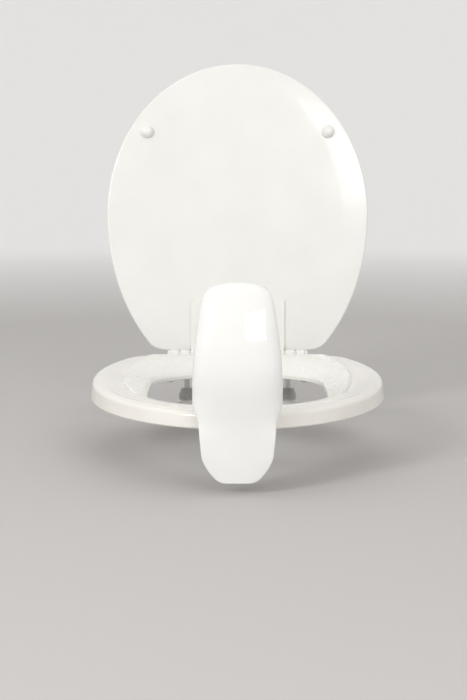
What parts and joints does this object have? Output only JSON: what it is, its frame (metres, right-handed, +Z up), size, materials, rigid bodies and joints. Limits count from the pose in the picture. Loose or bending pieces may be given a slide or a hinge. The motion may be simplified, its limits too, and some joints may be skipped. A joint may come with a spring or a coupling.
{
  "type": "raised toilet seat",
  "caption": "Hinged toilet seat ring with raised contour pad, upright lid on bumpers and lift-off splash guard at the front, on two bolted hinge posts.",
  "frame": {"origin": "midway between the two mounting bolts, on the top of the bowl rim (the underside of the post gaskets)", "axes": "+X to the right seen from the front, -Y towards the front of the seat, +Z up"},
  "size_m": [0.365, 0.5232, 0.4913],
  "materials": {
    "lid_white": "smooth gloss moulding",
    "pad_white": "satin-gloss moulding",
    "ring_bone": "gloss moulding, faint bone tint",
    "guard_white": "high gloss moulding",
    "bumper_white": "soft satin",
    "hinge_white": "satin moulding",
    "fastener_steel": "stainless, satin",
    "foot_rubber": "matt light elastomer"
  },
  "bodies": {
    "mount": {"hinge_post_left": "hinge_white", "hinge_post_right": "hinge_white", "post_gasket_left": "foot_rubber", "post_gasket_right": "foot_rubber", "mounting_bolt_left": "hinge_white", "mounting_bolt_right": "hinge_white", "bolt_bush_left": "foot_rubber", "bolt_bush_right": "foot_rubber", "bolt_washers": "fastener_steel", "wing_nut_left": "hinge_white", "wing_nut_right": "hinge_white", "hinge_rod": "fastener_steel", "rod_cap_left": "hinge_white", "rod_cap_right": "hinge_white", "hinge_spacers": "hinge_white"},
    "seat": {"seat_ring": "ring_bone", "contour_pad": "pad_white", "pad_screws": "fastener_steel", "ring_hinge_left": "hinge_white", "ring_hinge_right": "hinge_white", "ring_hinge_screws": "fastener_steel", "ring_bumper_front_left": "foot_rubber", "ring_bumper_front_right": "foot_rubber", "ring_bumper_back_left": "foot_rubber", "ring_bumper_back_right": "foot_rubber", "guard_bracket": "fastener_steel", "bracket_screws": "fastener_steel"},
    "lid": {"lid_panel": "lid_white", "lid_hinge_plate": "hinge_white", "lid_plate_screws": "fastener_steel", "lid_bumper_left": "bumper_white", "lid_bumper_right": "bumper_white"},
    "guard": {"splash_guard": "guard_white", "guard_hook": "guard_white", "hook_screws": "fastener_steel"}
  },
  "joints": [
    {"name": "ring_hinge", "type": "hinge", "parent": "mount", "child": "seat", "pos_m": [0, 0.012, 0.0285], "axis": [-1, 0, 0], "range_deg": [0, 98]},
    {"name": "lid_hinge", "type": "hinge", "parent": "seat", "child": "lid", "pos_m": [0, 0.012, 0.0285], "axis": [1, 0, 0], "range_deg": [0, 99.9]},
    {"name": "guard_lift", "type": "slide", "parent": "seat", "child": "guard", "axis": [0, 0, 1], "range_m": [0, 0.03]}
  ]
}
